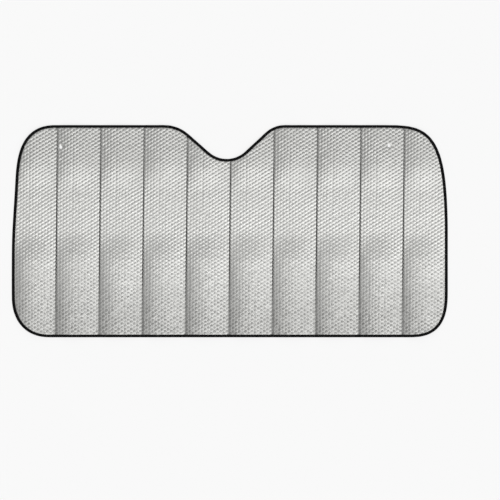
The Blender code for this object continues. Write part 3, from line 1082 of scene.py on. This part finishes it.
def film_colour(tree, rubbed_and_shaded, scuffed_and_shaded, crown):
    """Colour of the film: silver, with painted shade on scuffed crowns, and a black line along the
    creases that is partly rubbed film and partly painted crease shade.
    """
    # Painted shade: darker crowns where the film is scuffed
    place_shade = maths(
        tree, "ADD", SHADE_BETWEEN_CROWNS, maths(tree, "MULTIPLY", crown, SHADE_ON_CROWNS))
    painted_shade = maths(tree, "MULTIPLY", place_shade, maths(tree, "ADD", SHADE_WHERE_UNSCUFFED, scuffed_and_shaded))
    # How dark each crease is painted, partly rubbed film and partly painted shade, fainter where worn
    line = add(tree, "ShaderNodeMapRange", {
        "Value": rubbed_and_shaded, "From Min": 0.12, "From Max": 0.63}, interpolation_type="SMOOTHSTEP")
    unworn = add(tree, "ShaderNodeMapRange", {
        "Value": scuffed_and_shaded, "From Min": 0.25, "From Max": 0.70, "To Min": 1.0, "To Max": 0.4})
    crease_line_and_shade = maths(tree, "MULTIPLY", line.outputs[0], unworn.outputs[0])
    shaded_film = mix_colours(tree, painted_shade, FILM_COLOUR, PAINTED_SHADE_COLOUR)
    return mix_colours(tree, crease_line_and_shade, shaded_film, CREASE_LINE_AND_SHADE_COLOUR)


def film_roughness(tree, place, scuffed_and_shaded):
    """Roughness of the film: slow clouds, and a little more where it is scuffed."""
    cloud = add(tree, "ShaderNodeTexNoise", {"Vector": place, "Scale": 9.0, "Detail": 4.0})
    clouded = add(tree, "ShaderNodeMapRange", {
        "Value": cloud.outputs["Fac"], "From Min": 0.3, "From Max": 0.7,
        "To Min": 0.29, "To Max": 0.37})
    return maths(
        tree, "ADD", clouded.outputs[0], maths(tree, "MULTIPLY", scuffed_and_shaded, SCUFFED_ROUGHNESS))


def make_film_material():
    """Satin aluminised film, with its colour, its clouds of gloss, dust and crinkles."""
    material, tree, surface = new_material("silver film")
    place = add(tree, "ShaderNodeTexCoord").outputs["Object"]
    rubbed_and_shaded, scuffed_and_shaded, crown = (
        add(tree, "ShaderNodeAttribute", attribute_name=name).outputs["Fac"]
        for name in ("rubbed_and_shaded", "scuffed_and_shaded", "crown"))
    dusty = use_group(tree, DUST, {
        "Vector": place, "Colour": film_colour(tree, rubbed_and_shaded, scuffed_and_shaded, crown),
        "Roughness": film_roughness(tree, place, scuffed_and_shaded), "Scale": 7.0, "Amount": 0.10})
    crinkle = add(tree, "ShaderNodeTexNoise", {
        "Vector": place, "Scale": 420.0, "Detail": 3.0, "Roughness": 0.6})
    wire_finish(tree, surface, dusty, crinkle.outputs["Fac"], Strength=0.35, Distance=0.00012)
    surface.inputs["Metallic"].default_value = 1.0
    return material


foil.data.materials.append(make_film_material())
print("finish on", foil.name)

# %% [markdown]
# The tape is black polypropylene, woven plain: lengthwise and crosswise yarns pass over and
# under each other in turn. Two sine waves at right angles give that chequer: their product is
# positive where one yarn lies over and negative where it lies under. The group takes
# coordinates in metres and a yarn pitch, and gives back a height for both relief and colour.

# %% Weave group
UNDER_SHARE = 0.6


def make_weave_group():
    """Plain weave: a crown on every yarn, at full height where it lies over the other one."""
    tree, given, result = new_group(
        "plain weave",
        [("Vector", "NodeSocketVector", None), ("Yarn Pitch", "NodeSocketFloat", 0.0007)],
        [("Height", "NodeSocketFloat")])
    parts = add(tree, "ShaderNodeSeparateXYZ", {"Vector": given["Vector"]}).outputs
    turns = [maths(tree, "DIVIDE", maths(tree, "MULTIPLY", part, pi), given["Yarn Pitch"])
             for part in (parts[0], parts[1])]
    waves = [maths(tree, "SINE", turn) for turn in turns]
    crowns = [maths(tree, "ABSOLUTE", wave) for wave in waves]
    over = maths(tree, "ADD", maths(tree, "MULTIPLY", maths(tree, "MULTIPLY", *waves), 0.5), 0.5)
    level = maths(tree, "ADD", UNDER_SHARE, maths(tree, "MULTIPLY", over, 1 - UNDER_SHARE))
    height = maths(tree, "MULTIPLY", maths(tree, "MULTIPLY", *crowns), level)
    tree.links.new(height, result["Height"])
    return tree


WEAVE = make_weave_group()
print("group", WEAVE.name)

# %% [markdown]
# Black tape is nearly matt, so the weave shows by its relief and by a painted highlight, a
# slightly paler colour on the crowns of the yarns. The thread is a little glossier, with a fine
# slanting twist, and both take a trace of the same dust as the film.

# %% Black tape and thread
TAPE_COLOUR = (0.0015, 0.0015, 0.0017, 1)
# Painted highlight: the paler colour given to the crowns of the yarns
TAPE_PAINTED_HIGHLIGHT = (0.005, 0.005, 0.0055, 1)
THREAD_COLOUR = (0.007, 0.007, 0.008, 1)
YARN_PITCH = 0.00075


def make_tape_material():
    """Woven black tape: yarns in relief, with a painted highlight that makes their crowns slightly
    paler, and a soft sheen.
    """
    material, tree, surface = new_material("woven tape")
    metres = add(tree, "ShaderNodeUVMap", uv_map="tape").outputs["UV"]
    place = add(tree, "ShaderNodeTexCoord").outputs["Object"]
    height = use_group(tree, WEAVE, {"Vector": metres, "Yarn Pitch": YARN_PITCH})["Height"]
    dusty = use_group(tree, DUST, {
        "Vector": place, "Colour": mix_colours(tree, height, TAPE_COLOUR, TAPE_PAINTED_HIGHLIGHT),
        "Roughness": 0.72, "Scale": 40.0, "Amount": 0.008})
    wire_finish(tree, surface, dusty, height, Strength=0.6, Distance=0.00018)
    surface.inputs["Specular IOR Level"].default_value = 0.05
    return material


def make_thread_material():
    """Twisted black thread: fine slanting plies and a little more gloss than the tape."""
    material, tree, surface = new_material("sewing thread")
    place = add(tree, "ShaderNodeTexCoord").outputs["Object"]
    twist = add(tree, "ShaderNodeTexWave", {
        "Vector": place, "Scale": 900.0, "Distortion": 0.4}, bands_direction="DIAGONAL")
    dusty = use_group(tree, DUST, {
        "Vector": place, "Colour": THREAD_COLOUR, "Roughness": 0.5,
        "Scale": 40.0, "Amount": 0.03})
    wire_finish(tree, surface, dusty, twist.outputs["Fac"], Strength=0.5, Distance=0.00005)
    return material


tape.data.materials.append(make_tape_material())
thread.data.materials.append(make_thread_material())
print("finishes on", tape.name, "and", thread.name)

# %% [markdown]
# The new pieces are tied to the solid model. Foil and tape stand for its two nodes, and the
# thread is added.

for piece in (foil, tape, thread):
    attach(piece, "root")
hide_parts("foil_sheet")
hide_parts("edge_binding")

# %% [markdown]
# The floor is a wide grey sheet that glows only where the camera or a reflection sees it, so
# that it looks pale and keeps its shadow. The light is soft and comes mostly from the lower
# right of the picture, as the bright sides of the bubbles show: a broad sun does that alike on
# every panel, and a weaker one opposite fills the shadows. Metal shows what is around it, so
# the world is a room too, with bright walls and a ceiling that fades from a bright side to a
# dimmer one. The camera itself sees a plain pale surround.

# %% Floor and light
FLOOR_SIZE = 60.0
FLOOR_COLOUR = (0.22, 0.22, 0.22, 1)
FLOOR_GLOW = 0.72
SURROUND_COLOUR = (0.94, 0.94, 0.94, 1)
LIGHT_AZIMUTH = radians(-60)
SUN_HEIGHT = radians(60)
SUN_STRENGTH = 1.17
SUN_SPREAD = radians(56)
FILL_STRENGTH = 0.40
FILL_SPREAD = radians(38)
FILL_HEIGHT = radians(30)

# The room: levels of its walls and its ceiling, and the upward parts of a direction where the
# walls end and the ceiling begins
WALL_LEVEL = 0.80
SHADE_LEVEL = 0.38
BRIGHT_LEVEL = 0.68
BRIGHT_SIDE_RISE = 0.55
WALL_END = 0.35
CEILING_START = 0.75


def make_floor():
    """A flat pale floor at the height that the sunshade rests on."""
    half = FLOOR_SIZE / 2
    points = np.array([(-half, -half, 0), (half, -half, 0), (half, half, 0), (-half, half, 0)])
    floor = mesh_object("floor", points, [[0, 1, 2, 3]])
    material, tree, surface = new_material("pale floor")
    surface.inputs["Base Color"].default_value = FLOOR_COLOUR
    surface.inputs["Roughness"].default_value = 0.9
    surface.inputs["Specular IOR Level"].default_value = 0.0
    surface.inputs["Emission Color"].default_value = (1, 1, 1, 1)
    path = add(tree, "ShaderNodeLightPath").outputs
    seen = maths(tree, "MAXIMUM", path["Is Camera Ray"], path["Is Glossy Ray"])
    seen = maths(tree, "MAXIMUM", seen, path["Is Transmission Ray"])
    tree.links.new(maths(tree, "MULTIPLY", seen, FLOOR_GLOW), surface.inputs["Emission Strength"])
    floor.data.materials.append(material)
    return floor


def make_sun(name, strength, spread, height, azimuth):
    """A broad sun that shines from some height over the floor, out of some direction."""
    data = bpy.data.lights.new(name, "SUN")
    data.energy = strength
    data.angle = spread
    sun = bpy.data.objects.new(name, data)
    sun.rotation_euler = (0, pi / 2 - height, azimuth)
    bpy.context.scene.collection.objects.link(sun)


def make_world():
    """Light from all round: bright walls, under a ceiling that is brighter towards the key.

    The ceiling's level follows how far a direction faces the key, and the walls give way to
    the ceiling as the direction turns up.
    """
    world = bpy.data.worlds.new("studio")
    bpy.context.scene.world = world
    world.use_nodes = True
    tree = world.node_tree
    direction = add(tree, "ShaderNodeTexCoord").outputs["Generated"]
    toward_key = (np.cos(LIGHT_AZIMUTH), np.sin(LIGHT_AZIMUTH), BRIGHT_SIDE_RISE)
    facing = add(tree, "ShaderNodeVectorMath", {0: direction, 1: toward_key},
                 operation="DOT_PRODUCT")
    ceiling = add(tree, "ShaderNodeMapRange", {
        "Value": facing.outputs["Value"], "From Min": -0.7, "From Max": 1.1,
        "To Min": SHADE_LEVEL, "To Max": BRIGHT_LEVEL}, interpolation_type="SMOOTHSTEP")
    up = add(tree, "ShaderNodeSeparateXYZ", {"Vector": direction}).outputs["Z"]
    overhead = add(tree, "ShaderNodeMapRange", {
        "Value": up, "From Min": WALL_END, "From Max": CEILING_START},
        interpolation_type="SMOOTHSTEP")
    level = add(tree, "ShaderNodeMix", {
        0: overhead.outputs[0], 2: WALL_LEVEL, 3: ceiling.outputs[0]}, data_type="FLOAT")
    seen = add(tree, "ShaderNodeLightPath").outputs["Is Camera Ray"]
    colour = mix_colours(tree, seen, level.outputs[0], SURROUND_COLOUR)
    tree.links.new(colour, tree.nodes["Background"].inputs["Color"])


floor = make_floor()
make_sun("key", SUN_STRENGTH, SUN_SPREAD, SUN_HEIGHT, LIGHT_AZIMUTH)
make_sun("far fill", FILL_STRENGTH, FILL_SPREAD, FILL_HEIGHT, LIGHT_AZIMUTH + pi)
make_world()
bpy.context.scene.view_settings.view_transform = "Standard"
print("floor", FLOOR_SIZE, "m wide")
